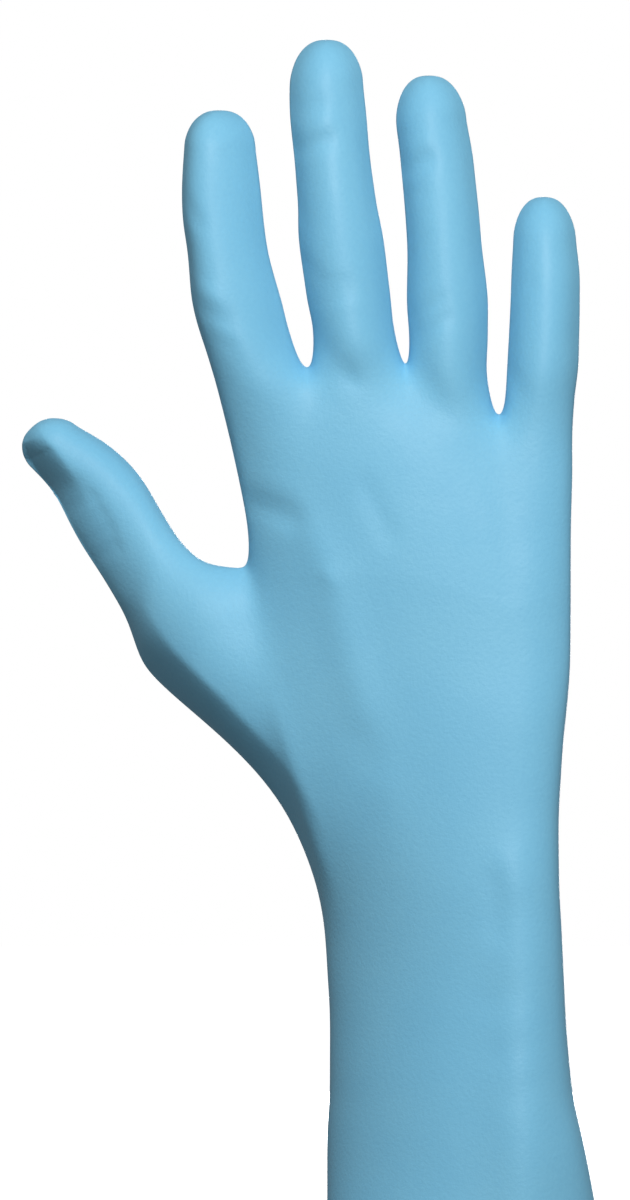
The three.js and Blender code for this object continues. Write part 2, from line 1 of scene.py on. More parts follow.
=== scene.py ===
"""A nitrile exam glove in the form that it has when it is worn on an open right hand, seen from the back.

One dipped film is the whole object: a long cuff with a rolled bead, the back and the palm, four finger
stalls and a thumb stall. Its surface is worked out in millimetres with numpy, from nearly the same named
sizes and tables as the part's solid, then divided finely, given its relief, and turned into metres. The
solid has no relief, its sections aren't turned towards the thumb, and its stalls have plainly round backs.
The frame has +Z up to the fingertips, -Y at the back of the hand and +X on the little finger's side.
"""
import math

import bpy
import numpy as np
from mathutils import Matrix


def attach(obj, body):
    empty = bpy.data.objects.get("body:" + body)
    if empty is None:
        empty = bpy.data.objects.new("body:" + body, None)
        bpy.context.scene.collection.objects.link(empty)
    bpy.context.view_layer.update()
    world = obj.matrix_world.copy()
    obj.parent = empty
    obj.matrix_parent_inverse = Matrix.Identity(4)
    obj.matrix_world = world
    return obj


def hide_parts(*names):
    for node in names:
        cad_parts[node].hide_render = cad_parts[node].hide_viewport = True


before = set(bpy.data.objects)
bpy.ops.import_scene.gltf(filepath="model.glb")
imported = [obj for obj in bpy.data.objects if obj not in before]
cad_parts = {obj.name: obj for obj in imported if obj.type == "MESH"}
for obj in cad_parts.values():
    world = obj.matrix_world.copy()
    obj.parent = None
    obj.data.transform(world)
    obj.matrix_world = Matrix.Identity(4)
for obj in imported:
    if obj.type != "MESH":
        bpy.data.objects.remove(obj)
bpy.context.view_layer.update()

# Driving sizes of the whole glove, in millimetres.
MM = 0.001
CUFF_LENGTH = 96
PALM_LENGTH = 126.2
RIM_BREADTH = 68
RIM_DEPTH = 57
WRIST_BREADTH = 57
WRIST_DEPTH = 41
PALM_BREADTH = 80
PALM_DEPTH = 32
WALL = 1
BEAD_DIAMETER = 2.6

# How deep the web between two stalls hangs below its crotch on the back and on the palm side.
WEB_DROP = 6
WEB_VALLEY = 0.5

# How far from the webs and from the thumb's root the film is drawn smooth, fully so over SEAM_WIDTH of
# that, in how many passes, and how far a pass moves a point to or back from its neighbours' mean.
WEB_REACH = 13
THUMB_REACH = 24
SEAM_WIDTH = 0.2
SMOOTH_PASSES = 30
SMOOTH_STEP = 0.6
SMOOTH_BACK = 0.58

# Where the depth alone is drawn smooth: over a band of the palm's height, fading out over LEVEL_REACH
# inside it, and within LEVEL_REACH of the thumb's root, in so many passes.
LEVEL_BAND = np.array([0.3, 0.95])
LEVEL_REACH = 24
LEVEL_PASSES = 10

# The stalls. A finger's length runs from its lower web to its tip, breadth is seen from the back,
# depth is from nail to pad, curl is how far the tip leans towards the palm, and dome is the height of
# the rounded tip. The thumb's reach is how far its tip stands towards the palm. crest is how far from a
# stall's middle its back stands highest, to the right on a finger and upwards on the thumb, as a share of
# half its breadth.
INDEX = {"length": 64, "breadth": 19, "depth": 20, "curl": 9, "dome": 10, "tip": -0.524, "crest": -0.3}
MIDDLE = {"length": 81, "breadth": 19, "depth": 20.5, "curl": 10, "dome": 12, "tip": -0.39, "crest": -0.05}
RING = {"length": 83.7, "breadth": 18.5, "depth": 19.5, "curl": 12, "dome": 12, "tip": -0.323, "crest": -0.05}
LITTLE = {"length": 54.4, "breadth": 16.2, "depth": 17.5, "curl": 9, "dome": 12, "tip": 0.104, "crest": 0.0}
THUMB = {"length": 57, "breadth": 22, "depth": 22, "reach": 22, "crest": 0.15}

# How a stall's round form takes over from its root on the hand (mm), how a finger curls more towards
# its tip, and how blunt a tip is: 1 makes it half an ellipsoid, and less makes it fuller.
FINGER_BLEND = 14
THUMB_BLEND = 28
CURL_POWER = 1.8
BLUNTNESS = 0.86

# How much more of a ridge than a circle a stall's back is: 1 is a circle.
BACK_RIDGE = 1.5

# How far along the thumb its back begins to rise to a ridge, as a share of half its length.
THUMB_ROUND_FROM = 0.6

# How square a section of the hand and of the thumb's root is: 2 is an ellipse.
HAND_SQUARENESS = 2.15
ROOT_SQUARENESS = 2.8

# Beside the thumb's root the hand keeps the fullness that it has at ROOT_SHARE of the way out, and comes
# to it over 1 / ROOT_STEEPNESS of the root's height. WEB_GROWTH keeps the webs' dips near the webs.
ROOT_SHARE = 0.6
ROOT_STEEPNESS = 3.2
WEB_GROWTH = 1.5

# How suddenly the thumb's edge bends away: 1 is a straight fold, and more makes it rounder. A line of
# relief is at its full height where the film faces back by at least 1 / FACING_GROWTH.
EDGE_POWER = 1.2
FACING_GROWTH = 1.6

# How finely the first, coarse surface is divided: columns over a finger's back, columns over a side,
# and rows, which ROW_CROWDING sets closer to the thumb's web the more it is above 1. A tip has TIP_RINGS
# up to TIP_RINGS_ANGLE degrees. FIT_PASSES is how often the coarse surface is moved so that its fine form
# fits, FINE_STEPS how often each of its quads is cut in four, and BEAD_STEPS the bead's number of strips.
FINGER_COLUMNS = 4
SIDE_COLUMNS = 4
CUFF_ROWS = 13
THUMB_ROOT_ROWS = 8
KNUCKLE_ROWS = 7
STALL_ROW_PITCH = 6
TIP_RINGS = 3
TIP_RINGS_ANGLE = 54
ROW_CROWDING = 1.3
FINE_STEPS = 2
FIT_PASSES = 6
BEAD_STEPS = 16


def table(names, *rows):
    """Rows of numbers as one whole array for each named column."""
    return dict(zip(names.split(), np.array(rows, float).T))


# Sections of the cuff and the hand from the rim up. `up` is a share of CUFF_LENGTH, and past 1 a share
# of PALM_LENGTH beyond it. left and right are the edges from the middle of the mouth, as shares of the
# section's breadth, and back and front are the depths behind and before it, as shares of its depth.
# turn is how far the section is turned towards the thumb about its middle, in degrees.
RIM = (RIM_BREADTH, RIM_DEPTH)
WRIST = (WRIST_BREADTH, WRIST_DEPTH)
PALM = (PALM_BREADTH, PALM_DEPTH)
SECTIONS = table(
    "breadth depth up left right back front turn",
    (*RIM, 0.0, -0.5, 0.5, 0.5, 0.5, 6),
    (*RIM, 0.22, -0.497, 0.445, 0.465, 0.465, 17),
    (*RIM, 0.35, -0.497, 0.41, 0.44, 0.44, 21),
    (*RIM, 0.5, -0.488, 0.366, 0.405, 0.415, 23),
    (*WRIST, 0.65, -0.581, 0.412, 0.515, 0.55, 24),
    (*WRIST, 0.8, -0.593, 0.399, 0.48, 0.515, 24),
    (*WRIST, 0.9, -0.61, 0.391, 0.468, 0.5, 23),
    (*WRIST, 1.0, -0.635, 0.382, 0.46, 0.5, 22),
    (*PALM, 1.11, -0.5, 0.27, 0.56, 0.66, 19),
    (*PALM, 1.27, -0.57, 0.283, 0.52, 0.66, 15),
    (*PALM, 1.42, -0.625, 0.304, 0.49, 0.6, 11.5),
    (*PALM, 1.55, -0.657, 0.307, 0.47, 0.53, 8.6),
    (*PALM, 1.61, -0.664, 0.307, 0.463, 0.5, 7.3),
    (*PALM, 1.635, -0.663, 0.307, 0.459, 0.49, 6.8),
    (*PALM, 1.67, -0.652, 0.307, 0.453, 0.475, 6),
    (*PALM, 1.72, -0.668, 0.309, 0.443, 0.46, 5),
    (*PALM, 1.8, -0.691, 0.31, 0.425, 0.45, 3.4),
    (*PALM, 1.87, -0.718, 0.314, 0.403, 0.42, 2),
    (*PALM, 1.94, -0.747, 0.322, 0.37, 0.38, 0.7),
    (*PALM, 1.99, -0.767, 0.33, 0.335, 0.345, 0),
)
# Where the thumb's root ends above, at the web to the index finger, as a share of the palm's height, and
# where the thumb is hung there, as a share of its breadth.
THUMB_WEB_UP = 0.618
THUMB_WEB_ACROSS = -0.7

# The four finger roots from left to right, at the webs: across is a share of PALM_BREADTH from the
# middle of the mouth, and up a share of PALM_LENGTH above the wrist. The first and last are outer edges.
WEBS = table(
    "across up",
    (-0.765, 0.982),
    (-0.478, 0.976),
    (-0.184, 0.984),
    (0.101, 0.887),
    (0.315, 0.902),
)

# Outlines of the finger stalls as seen from the back. `up` is a share of the stall's length, left and
# right are its edges from the middle of its root as shares of its breadth, and depth is a share of its
# own depth. A stall's tip is where its top lies across, in the same shares as left and right.
INDEX["outline"] = table(
    "up left right depth",
    (0.0, -0.595, 0.6, 1.02),
    (0.057, -0.655, 0.483, 1.02),
    (0.254, -0.85, 0.282, 0.98),
    (0.482, -0.935, 0.082, 0.91),
    (0.596, -0.987, 0.03, 0.87),
    (0.71, -0.997, -0.01, 0.84),
    (0.842, -0.973, -0.064, 0.81),
)
MIDDLE["outline"] = table(
    "up left right depth",
    (0.0, -0.62, 0.62, 1.0),
    (0.061, -0.553, 0.53, 1.0),
    (0.127, -0.563, 0.465, 1.0),
    (0.216, -0.628, 0.422, 0.98),
    (0.396, -0.74, 0.333, 0.93),
    (0.487, -0.75, 0.256, 0.9),
    (0.667, -0.808, 0.148, 0.84),
    (0.757, -0.85, 0.117, 0.81),
    (0.849, -0.86, 0.076, 0.78),
)
RING["outline"] = table(
    "up left right depth",
    (0.0, -0.616, 0.616, 1.0),
    (0.037, -0.616, 0.49, 1.0),
    (0.081, -0.616, 0.433, 1.0),
    (0.159, -0.616, 0.428, 1.0),
    (0.197, -0.58, 0.431, 1.0),
    (0.342, -0.61, 0.438, 0.96),
    (0.516, -0.609, 0.357, 0.91),
    (0.778, -0.705, 0.237, 0.82),
    (0.856, -0.747, 0.174, 0.79),
)
LITTLE["outline"] = table(
    "up left right depth",
    (0.0, -0.535, 0.535, 1.0),
    (0.259, -0.443, 0.608, 0.98),
    (0.664, -0.378, 0.627, 0.87),
    (0.768, -0.356, 0.588, 0.83),
)

# Sections of the thumb stall from its root on the hand to its tip. out and up place the section's
# middle from the thumb's web, as shares of the thumb's length, turn is the angle of the section's line
# in degrees from +X, breadth and depth are shares of the thumb's, and sink is a share of its reach.
THUMB_SECTIONS = table(
    "out up turn breadth depth sink",
    (-0.165, -0.665, 105.4, 3.64, 1.5, 0.07),
    (-0.108, -0.541, 105.8, 2.97, 1.42, 0.14),
    (-0.016, -0.432, 102.1, 2.37, 1.34, 0.25),
    (0.082, -0.347, 96.4, 1.965, 1.26, 0.36),
    (0.185, -0.259, 89.3, 1.72, 1.19, 0.47),
    (0.283, -0.167, 81.4, 1.573, 1.13, 0.57),
    (0.338, -0.092, 80, 1.551, 1.08, 0.64),
    (0.394, 0.033, 75.7, 1.323, 1.04, 0.72),
    (0.449, 0.133, 70.4, 1.192, 1.01, 0.79),
    (0.506, 0.22, 64.3, 1.096, 0.98, 0.85),
    (0.564, 0.299, 59.7, 1.011, 0.94, 0.9),
    (0.627, 0.385, 54.3, 0.87, 0.87, 0.94),
    (0.692, 0.461, 48, 0.743, 0.78, 0.97),
    (0.753, 0.511, 43, 0.687, 0.7, 0.99),
)
THUMB_TIP = {"out": 0.862, "up": 0.603, "sink": 1.0}

# Broad forms under the film. side is -1 on the back and 1 on the palm, across is a share of
# PALM_BREADTH, up a share of PALM_LENGTH above the wrist, and wide and tall are the form's reach as
# shares of the same two. lean turns it in degrees, and rise is its height in shares of PALM_DEPTH.
FORMS = table(
    "side across up wide tall lean rise",
    (1, -0.38, 0.3, 0.17, 0.2, 20, 0.2),
    (1, 0.1, 0.25, 0.13, 0.24, -4, 0.14),
    (1, -0.16, 0.42, 0.12, 0.2, 12, -0.12),
    (1, -0.15, 0.84, 0.4, 0.07, -6, 0.05),
)

# Lines of relief on the film, each along a path of places. Places are across and up as in the table
# above, reach is how wide the line's profile is there, and rise its height, both as shares of PALM_DEPTH.
# side is -1 on the back and 1 on the palm, and 0 for an edge, where the whole film bends to the palm.
RELIEF = {
    "edge of the thumb": (0, table(
        "across up reach rise",
        (-1.07, 0.54, 0.2, 0.0),
        (-1.0, 0.46, 0.22, 0.16),
        (-0.954, 0.413, 0.24, 0.28),
        (-0.804, 0.306, 0.28, 0.3),
        (-0.654, 0.207, 0.28, 0.24),
        (-0.56, 0.13, 0.26, 0.12),
        (-0.49, 0.05, 0.24, 0.0),
    )),
    "edge of the thumb's tip": (0, table(
        "across up reach rise",
        (-1.338, 0.85, 0.16, 0.04),
        (-1.32, 0.82, 0.2, 0.16),
        (-1.27, 0.775, 0.2, 0.16),
        (-1.22, 0.735, 0.18, 0.06),
    )),
    "long hollow beside the index bone": (-1, table(
        "across up reach rise",
        (-0.635, 0.66, 0.28, -0.01),
        (-0.64, 0.58, 0.34, -0.04),
        (-0.63, 0.5, 0.36, -0.055),
        (-0.585, 0.378, 0.36, -0.055),
        (-0.49, 0.226, 0.3, -0.02),
    )),
    "index bone": (-1, table(
        "across up reach rise",
        (-0.5, 0.721, 0.12, 0.015),
        (-0.414, 0.591, 0.16, 0.03),
        (-0.339, 0.397, 0.16, 0.03),
        (-0.249, 0.188, 0.16, 0.01),
    )),
    "cord over the index bone": (-1, table(
        "across up reach rise",
        (-0.425, 0.6, 0.05, 0.01),
        (-0.405, 0.58, 0.05, 0.01),
    )),
    "hollow over the wrist bones": (-1, table(
        "across up reach rise",
        (-0.309, 0.283, 0.14, -0.015),
        (-0.29, 0.25, 0.14, -0.015),
    )),
    "bump of the outer wrist bone": (-1, table(
        "across up reach rise",
        (0.12, 0.05, 0.14, 0.015),
        (0.13, 0.02, 0.14, 0.015),
    )),
    "hollow inside the outer wrist bone": (-1, table(
        "across up reach rise",
        (0.08, 0.01, 0.1, -0.012),
        (0.085, -0.1, 0.1, -0.012),
    )),
    "bone along the forearm": (-1, table(
        "across up reach rise",
        (0.17, -0.9, 0.24, 0.06),
        (0.16, -0.5, 0.24, 0.08),
        (0.16, -0.1, 0.22, 0.05),
        (0.17, 0.15, 0.22, 0.015),
        (0.2, 0.6, 0.2, 0.01),
    )),
}

# Short folds and swellings of the film on the back, each from one place to another. The columns are in
# the same shares as above.
CREASES = table(
    "across up to_across to_up reach rise",
    # On the index finger.
    (-0.849, 1.305, -0.807, 1.265, 0.06, -0.014),
    (-0.828, 1.147, -0.756, 1.124, 0.06, 0.014),
    (-0.81, 1.097, -0.726, 1.078, 0.08, -0.02),
    (-0.786, 1.057, -0.717, 1.035, 0.07, -0.012),
    # On the middle finger.
    (-0.507, 1.485, -0.45, 1.493, 0.055, -0.012),
    (-0.504, 1.447, -0.426, 1.459, 0.07, 0.012),
    (-0.51, 1.403, -0.423, 1.423, 0.06, -0.022),
    (-0.495, 1.192, -0.447, 1.166, 0.055, -0.012),
    (-0.45, 1.145, -0.363, 1.156, 0.05, -0.012),
    (-0.444, 1.118, -0.351, 1.133, 0.05, -0.012),
    (-0.42, 1.021, -0.354, 0.976, 0.1, -0.014),
    # On the ring finger.
    (-0.192, 1.409, -0.129, 1.421, 0.06, 0.01),
    (-0.198, 1.362, -0.117, 1.386, 0.06, -0.02),
    (-0.192, 1.314, -0.144, 1.327, 0.06, -0.008),
    (-0.171, 1.084, -0.081, 1.12, 0.05, -0.012),
    (-0.168, 1.046, -0.063, 1.086, 0.05, -0.014),
    # On the little finger.
    (0.132, 1.139, 0.186, 1.151, 0.06, -0.008),
    (0.117, 0.983, 0.162, 0.945, 0.08, -0.014),
    # On the thumb.
    (-1.272, 0.846, -1.182, 0.785, 0.1, 0.02),
    (-1.236, 0.755, -1.182, 0.77, 0.09, -0.025),
    (-1.2, 0.715, -1.128, 0.744, 0.05, -0.022),
    (-1.176, 0.687, -1.101, 0.715, 0.05, -0.022),
    (-1.152, 0.66, -1.077, 0.687, 0.05, -0.022),
    (-1.125, 0.631, -1.062, 0.654, 0.05, -0.022),
    # On the knuckles.
    (-0.648, 0.772, -0.552, 0.759, 0.09, 0.01),
    (-0.636, 0.732, -0.528, 0.707, 0.09, -0.03),
    (-0.306, 0.763, -0.237, 0.669, 0.07, -0.014),
    (-0.366, 0.983, -0.342, 0.96, 0.07, -0.01),
    # On the forearm.
    (0.072, -0.278, 0.12, -0.259, 0.12, -0.008),
    (0.096, -0.411, 0.15, -0.394, 0.12, -0.008),
    (0.126, -0.506, 0.18, -0.491, 0.12, -0.008),
)


def mix(a, b, t):
    """The value that lies a share t of the way from a to b."""
    return a + (b - a) * t


def ease(t):
    """0 below 0 and 1 above 1, with a smooth S-shaped rise between them: t squared times 3 less 2 t."""
    t = np.clip(t, 0, 1)
    return t * t * (3 - 2 * t)


def powered(value, power):
    """A value raised to a power, with its sign kept."""
    return np.sign(value) * np.abs(value) ** power


def stacked(x, y, z):
    """Three arrays that fit each other as one array of points."""
    return np.stack(np.broadcast_arrays(x, y, z), axis=-1)


def curve(at, value):
    """A smooth curve through a table's column: cubic pieces whose slope at a row is the harmonic mean of
    the two slopes beside it, so that it never overshoots a row. Past its ends it stays level."""
    step = np.diff(value) / np.diff(at)
    before, after = step[:-1], step[1:]
    agree = before * after > 0
    inner = np.where(agree, 2 * before * after / np.where(agree, before + after, 1), 0)
    slope = np.concatenate([step[:1], inner, step[-1:]])

    def along(v):
        inside = np.clip(v, at[0], at[-1])
        i = np.clip(np.searchsorted(at, inside, side="right") - 1, 0, len(at) - 2)
        h = at[i + 1] - at[i]
        t = (inside - at[i]) / h
        u = 1 - t
        through = value[i] * (1 + 2 * t) * u * u + value[i + 1] * t * t * (3 - 2 * t)
        return through + h * (slope[i] * t * u * u - slope[i + 1] * t * t * u)

    return along


def height_of(up):
    """Height of a section: a share of the cuff's length, and past 1 a share of the palm's beyond it."""
    return np.where(np.asarray(up) <= 1, up * CUFF_LENGTH, CUFF_LENGTH + (up - 1) * PALM_LENGTH)


section_heights = height_of(SECTIONS["up"])
hand_left = curve(section_heights, SECTIONS["left"] * SECTIONS["breadth"])
hand_right = curve(section_heights, SECTIONS["right"] * SECTIONS["breadth"])
hand_back = curve(section_heights, SECTIONS["back"] * SECTIONS["depth"])
hand_front = curve(section_heights, SECTIONS["front"] * SECTIONS["depth"])
hand_turn = curve(section_heights, np.tan(np.radians(SECTIONS["turn"])))
web_x = WEBS["across"] * PALM_BREADTH
web_z = height_of(1 + WEBS["up"])


def finger(stall, j):
    """A finger stall's curves over height, from its lower web to where its rounded tip begins."""
    root_x = (web_x[j] + web_x[j + 1]) / 2
    root_z = min(web_z[j], web_z[j + 1])
    rows = stall["outline"]
    at = root_z + rows["up"] * stall["length"]
    root_middle = (hand_front(root_z) - hand_back(root_z)) / 2
    rise = lambda z: np.maximum(0, (z - root_z) / stall["length"]) ** CURL_POWER
    return {
        "root_z": root_z,
        "dome_z": root_z + stall["length"] - stall["dome"],
        "tip_x": root_x + stall["tip"] * stall["breadth"],
        "tip_z": root_z + stall["length"],
        "middle": curve(at, root_x + (rows["left"] + rows["right"]) / 2 * stall["breadth"]),
        "wide": curve(at, (rows["right"] - rows["left"]) / 2 * stall["breadth"]),
        "deep": curve(at, rows["depth"] * stall["depth"] / 2),
        "sink": lambda z: root_middle + stall["curl"] * rise(z),
        "crest": stall["crest"],
    }


fingers = [finger(stall, j) for j, stall in enumerate((INDEX, MIDDLE, RING, LITTLE))]


def skewed(angle, crest):
    """How far across a round section a point lies: the cosine of its angle, drawn to the crest on the
    back by the square of the sine, so that both edges stay."""
    return np.cos(angle) + crest * np.maximum(0, np.sin(angle)) ** 2


def ridged(angle):
    """How deep a finger's section is at an angle: the sine, raised to a power on the back, which makes
    the back a little more of a ridge than a circle is."""
    return powered(np.sin(angle), np.where(np.sin(angle) > 0, BACK_RIDGE, 1))


def finger_point(f, angle, z):
    """A point of a finger's tube: a round section about its middle line, at an angle from its right side."""
    return stacked(
        f["middle"](z) + f["wide"](z) * skewed(angle, f["crest"]),
        f["sink"](z) - f["deep"](z) * ridged(angle),
        z,
    )


# A ring of the hand runs over the back from left to right, round the right side, over the palm from
# right to left and round the left side. A column is counted from the left on the back and the palm.
BACK_COLUMNS = len(fingers) * FINGER_COLUMNS
PALM_START = BACK_COLUMNS + SIDE_COLUMNS
LEFT_START = PALM_START + BACK_COLUMNS
RING_COUNT = LEFT_START + SIDE_COLUMNS


def web_ring():
    """The ring at the finger webs. The back and the palm bulge over each finger's root as half a sine
    wave and dip at the webs between them, and the two sides are the outer fingers' own sections."""
    last = len(fingers)
    corners = [
        finger_point(fingers[min(k, last - 1)], np.radians(45 if k else 135), web_z[k])
        for k in (0, last)
    ]
    edge_x = web_x.copy()
    edge_x[[0, -1]] = [corners[0][0], corners[1][0]]
    edge_z = web_z - WEB_DROP
    edge_z[[0, -1]] = web_z[[0, -1]]
    edge_deep = np.full(last + 1, WEB_VALLEY)
    edge_deep[[0, -1]] = math.sqrt(0.5)
    column = np.arange(BACK_COLUMNS + 1)
    j = np.minimum(last - 1, column // FINGER_COLUMNS)
    t = column / FINGER_COLUMNS - j
    x = mix(edge_x[j], edge_x[j + 1], t)
    z = mix(edge_z[j], edge_z[j + 1], t)
    deep = mix(mix(edge_deep[j], edge_deep[j + 1], t), 1, np.sin(np.pi * t))
    middle = np.select([j == k for k in range(last)], [f["sink"](z) for f in fingers])
    reach = np.select([j == k for k in range(last)], [f["deep"](z) for f in fingers])
    turn = np.arange(1, SIDE_COLUMNS) / SIDE_COLUMNS
    return np.concatenate([
        stacked(x, middle - reach * deep, z),
        finger_point(fingers[-1], np.radians(mix(45, -45, turn)), web_z[-1]),
        stacked(x, middle + reach * deep, z)[::-1],
        finger_point(fingers[0], np.radians(mix(225, 135, turn)), web_z[0]),
    ])


top_form = web_ring()


def section_point(i, z, v):
    """A point of a section at height z, of the cuff or the hand: a superellipse whose power grows with v,
    which is 0 at the wrist and 1 at the finger webs. Beside the thumb's root it stays full to the left.
    The section is turned by its depth alone, which falls by the distance from its middle to the right
    times the tangent of the turn."""
    angle = math.pi - (2 * i + SIDE_COLUMNS) * math.pi / RING_COUNT
    power = 2 / mix(2, HAND_SQUARENESS, ease(2 * v))
    across = powered(np.cos(angle), power)
    full_round = np.abs(np.sin(angle)) ** power
    beside = np.where((v > 0) & (v < THUMB_WEB_UP), v / THUMB_WEB_UP, 0)
    opened = ease(ROOT_STEEPNESS * beside) * ease(ROOT_STEEPNESS * (1 - beside))
    kept = (1 - np.abs(across * ROOT_SHARE) ** (2 / power)) ** (power / 2)
    fullness = np.where(across < 0, kept, full_round)
    deep = np.where(np.sin(angle) > 0, -hand_back(z), hand_front(z))
    from_middle = across * (hand_right(z) - hand_left(z)) / 2
    return stacked(
        (hand_left(z) + hand_right(z)) / 2 + from_middle,
        deep * mix(full_round, np.maximum(full_round, fullness), opened) - hand_turn(z) * from_middle,
        z,
    )


def hand_point(i, v):
    """A point of the hand, where the section turns into the ring at the finger webs."""
    near_webs = ease((v - THUMB_WEB_UP) / (1 - THUMB_WEB_UP)) ** WEB_GROWTH
    section = section_point(i, mix(CUFF_LENGTH, top_form[i, 2], v), v)
    return mix(section, top_form[i], near_webs[..., None])


# The coarse surface: blocks of points, and patches, which are two-way grids of the points' numbers.
blocks = []
patches = []


def add(places):
    """Adds an array of points and gives their numbers in the same arrangement."""
    start = sum(len(block) for block in blocks)
    flat = places.reshape(-1, 3)
    blocks.append(flat)
    return np.arange(start, start + len(flat)).reshape(places.shape[:-1])


def closed(rows):
    """Rows of rings as a patch whose last column is its first again."""
    return np.column_stack([rows, rows[:, :1]])


def place_of(ids):
    """The places of points by their numbers."""
    return np.concatenate(blocks)[ids]


# The rings of the cuff and the hand. Beside the thumb's root a ring has no left side.
ring_index = np.arange(RING_COUNT)
cuff_z = mix(BEAD_DIAMETER, CUFF_LENGTH, np.arange(CUFF_ROWS + 1) / CUFF_ROWS)
cuff_ids = add(section_point(ring_index[None], cuff_z[:, None], np.zeros((CUFF_ROWS + 1, 1))))
root_v = THUMB_WEB_UP * np.arange(1, THUMB_ROOT_ROWS) / THUMB_ROOT_ROWS
root_ids = add(hand_point(ring_index[None, :LEFT_START + 1], root_v[:, None]))
knuckle_share = (np.arange(KNUCKLE_ROWS + 1) / KNUCKLE_ROWS) ** ROW_CROWDING
knuckle_ids = add(hand_point(ring_index[None], mix(THUMB_WEB_UP, 1, knuckle_share)[:, None]))
open_ids = np.vstack([cuff_ids[-1:, :LEFT_START + 1], root_ids, knuckle_ids[:1, :LEFT_START + 1]])
patches += [closed(cuff_ids), open_ids, closed(knuckle_ids)]
mouth = cuff_ids[0]
top_ring = knuckle_ids[-1]


def web_line(k):
    """The web between two stalls: points from the back of the hand over the crotch to the palm, whose
    height rises from the straight line between its ends by a sine arch."""
    start = place_of(top_ring[k * FINGER_COLUMNS])
    end = place_of(top_ring[LEFT_START - k * FINGER_COLUMNS])
    t = np.arange(1, SIDE_COLUMNS) / SIDE_COLUMNS
    z = mix(mix(start[2], end[2], t), web_z[k], np.sin(np.pi * t))
    return add(stacked(web_x[k], mix(start[1], end[1], t), z))


web_lines = {k: web_line(k) for k in range(1, len(fingers))}


def close_tip(ring, across, deep, place):
    """Closes a stall's last ring with a grid of quads, across by deep. A grid point's distance from the
    middle is the larger of its two shares, and place gives the tip's point there."""
    a, b = np.meshgrid(np.arange(across + 1), np.arange(deep + 1), indexing="ij")
    u = 2 * a / across - 1
    w = 2 * b / deep - 1
    reach = np.maximum(np.abs(u), np.abs(w))
    safe = np.where(reach > 0, reach, 1)
    index = np.select(
        [-w == reach, u == reach, w == reach],
        [
            across * (u / safe + 1) / 2,
            across + deep * (w / safe + 1) / 2,
            across + deep + across * (1 - u / safe) / 2,
        ],
        2 * across + deep + deep * (1 - w / safe) / 2,
    )
    ids = np.empty(a.shape, int)
    rim = reach == 1
    ids[rim] = ring[np.rint(index[rim]).astype(int) % len(ring)]
    ids[~rim] = add(place(index[~rim], reach[~rim]))
    patches.append(ids.T)


def grow_stall(root, across, deep, rows, blend, tube, travelled, dome):
    """Grows a stall from its root ring. tube is its own round form by ring place and share of the way,
    travelled how far along that is, and dome its tip by ring place and angle of lift. Where the root
    differs from the round form, the difference dies away over blend."""
    i = np.arange(len(root))[None]
    share = (np.arange(1, rows + 1) / rows)[:, None]
    gap = place_of(root) - tube(i, np.zeros((1, 1)))
    left = 1 - ease(travelled(i, share) / blend)
    tube_ids = add(tube(i, share) + gap * left[..., None])
    lift = np.radians(TIP_RINGS_ANGLE) * (np.arange(1, TIP_RINGS + 1) / TIP_RINGS)[:, None]
    dome_ids = add(dome(i, lift))
    patches.append(closed(np.vstack([root[None], tube_ids, dome_ids])))
    close_tip(
        dome_ids[-1], across, deep,
        lambda at, reach: dome(at, np.radians(mix(90, TIP_RINGS_ANGLE, reach))),
    )


def add_finger(f, j):
    """A finger stall on its part of the hand's top ring, between two webs. Its tip is an ellipsoid whose
    breadth falls with the cosine of the lift to the power of BLUNTNESS."""
    columns = j * FINGER_COLUMNS + np.arange(FINGER_COLUMNS + 1)
    last = len(fingers) - 1
    right = top_ring[BACK_COLUMNS + 1:PALM_START] if j == last else web_lines[j + 1]
    left = top_ring[LEFT_START + 1:] if j == 0 else web_lines[j][::-1]
    root = np.concatenate([top_ring[columns], right, top_ring[LEFT_START - columns][::-1], left])
    start_z = place_of(root)[:, 2]
    angle = lambda i: math.pi / 2 + (FINGER_COLUMNS - 2 * i) * math.pi / len(root)
    height_at = lambda i, share: mix(start_z[i], f["dome_z"], share)

    def dome(i, lift):
        z = mix(f["dome_z"], f["tip_z"], np.sin(lift))
        wide = f["wide"](f["dome_z"]) * np.cos(lift) ** BLUNTNESS
        deep = f["deep"](f["dome_z"]) * np.cos(lift) ** BLUNTNESS
        middle = mix(f["middle"](f["dome_z"]), f["tip_x"], np.sin(lift))
        across = skewed(angle(i), f["crest"])
        return stacked(middle + wide * across, f["sink"](z) - deep * ridged(angle(i)), z)

    grow_stall(
        root, FINGER_COLUMNS, SIDE_COLUMNS,
        rows=max(KNUCKLE_ROWS, round((f["dome_z"] - f["root_z"]) / STALL_ROW_PITCH)),
        blend=FINGER_BLEND,
        tube=lambda i, share: finger_point(f, angle(i), height_at(i, share)),
        travelled=lambda i, share: height_at(i, share) - start_z[i],
        dome=dome,
    )


for j, f in enumerate(fingers):
    add_finger(f, j)


